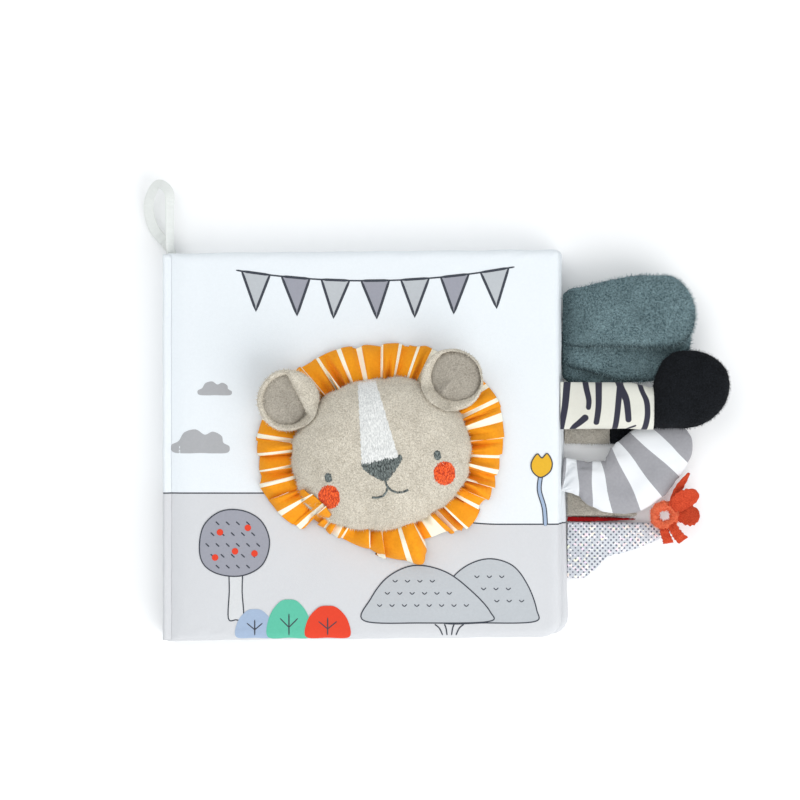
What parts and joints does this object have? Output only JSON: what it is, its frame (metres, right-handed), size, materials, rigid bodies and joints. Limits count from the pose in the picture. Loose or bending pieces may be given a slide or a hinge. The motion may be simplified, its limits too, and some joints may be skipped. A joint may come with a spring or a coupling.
{
  "type": "crinkle cloth book",
  "caption": "Soft cloth book with crinkle film in its padded leaves, a stuffed lion head with a gathered mane on the cover, soft animal tails along the edge and a ribbon loop.",
  "frame": {"origin": "middle of the rest face on the underside of the back cover", "axes": "+X from the spine to the tails, +Y to the head of the book, +Z out of the front cover"},
  "size_m": [0.265, 0.2093, 0.0448],
  "materials": {
    "printed_cotton": "smooth printed cotton, matt",
    "page_cotton": "smooth plain cotton, matt",
    "crinkle_film": "thin crackling film, satin",
    "ribbon": "ribbed woven tape",
    "beige_plush": "short dense plush",
    "beige_plush_dark": "short dense plush",
    "mane_cotton": "printed cotton with cream stripes",
    "white_thread": "satin stitch",
    "dark_thread": "satin stitch",
    "red_thread": "fill stitch",
    "filling": "polyester fibre",
    "teal_plush": "soft plush with a sheen",
    "black_plush": "soft plush with a sheen",
    "cream_cotton": "brushed cotton with dark printed stripes",
    "grey_cotton": "brushed cotton with white printed stripes",
    "orange_felt": "thick felt",
    "red_felt": "thin felt",
    "glitter_cloth": "silver cloth with a grid of bright dots"
  },
  "bodies": {
    "back_cover": {"back_cover_inner": "printed_cotton", "back_cover_outer": "page_cotton", "back_cover_crinkle_film": "crinkle_film", "spine_band": "printed_cotton", "hanging_loop": "ribbon", "beige_sleeve": "beige_plush", "beige_tail_tip": "black_plush", "beige_tail_filling": "filling", "glitter_fin": "glitter_cloth", "red_fin_edge": "red_felt", "beige_fin_plush": "beige_plush"},
    "middle_leaf": {"middle_leaf_front": "printed_cotton", "middle_leaf_back": "page_cotton", "middle_leaf_crinkle_film": "crinkle_film", "top_teal_flap": "teal_plush", "middle_teal_flap": "teal_plush", "lower_teal_flap": "teal_plush", "curved_tail": "grey_cotton", "curved_tail_filling": "filling", "tassel_ring": "orange_felt", "tassel_petal_1": "orange_felt", "tassel_petal_2": "orange_felt", "tassel_petal_3": "orange_felt", "tassel_petal_4": "orange_felt", "tassel_petal_5": "orange_felt"},
    "front_cover": {"front_cover_outer": "printed_cotton", "front_cover_inner": "page_cotton", "front_cover_crinkle_film": "crinkle_film", "lion_face": "beige_plush", "head_filling": "filling", "head_backing": "page_cotton", "mane_ruffle": "mane_cotton", "left_ear": "beige_plush", "left_ear_lining": "beige_plush_dark", "right_ear": "beige_plush", "right_ear_lining": "beige_plush_dark", "nose_bridge": "white_thread", "nose": "dark_thread", "left_eye": "dark_thread", "right_eye": "dark_thread", "left_cheek": "red_thread", "right_cheek": "red_thread"},
    "striped_tail": {"striped_sleeve": "cream_cotton", "black_tip": "black_plush", "striped_tail_filling": "filling"}
  },
  "joints": [
    {"name": "middle_leaf_turn", "type": "hinge", "parent": "back_cover", "child": "middle_leaf", "pos_m": [-0.0889, 0, 0.0093], "axis": [0, -1, 0], "range_deg": [0, 160], "deforming": ["spine_band"]},
    {"name": "front_cover_turn", "type": "hinge", "parent": "middle_leaf", "child": "front_cover", "pos_m": [-0.0889, 0, 0.0156], "axis": [0, -1, 0], "range_deg": [0, 160]},
    {"name": "striped_tail_lift", "type": "hinge", "parent": "front_cover", "child": "striped_tail", "pos_m": [0.0899, 0.0183, 0.0167], "axis": [0, -1, 0], "range_deg": [0, 45]}
  ]
}
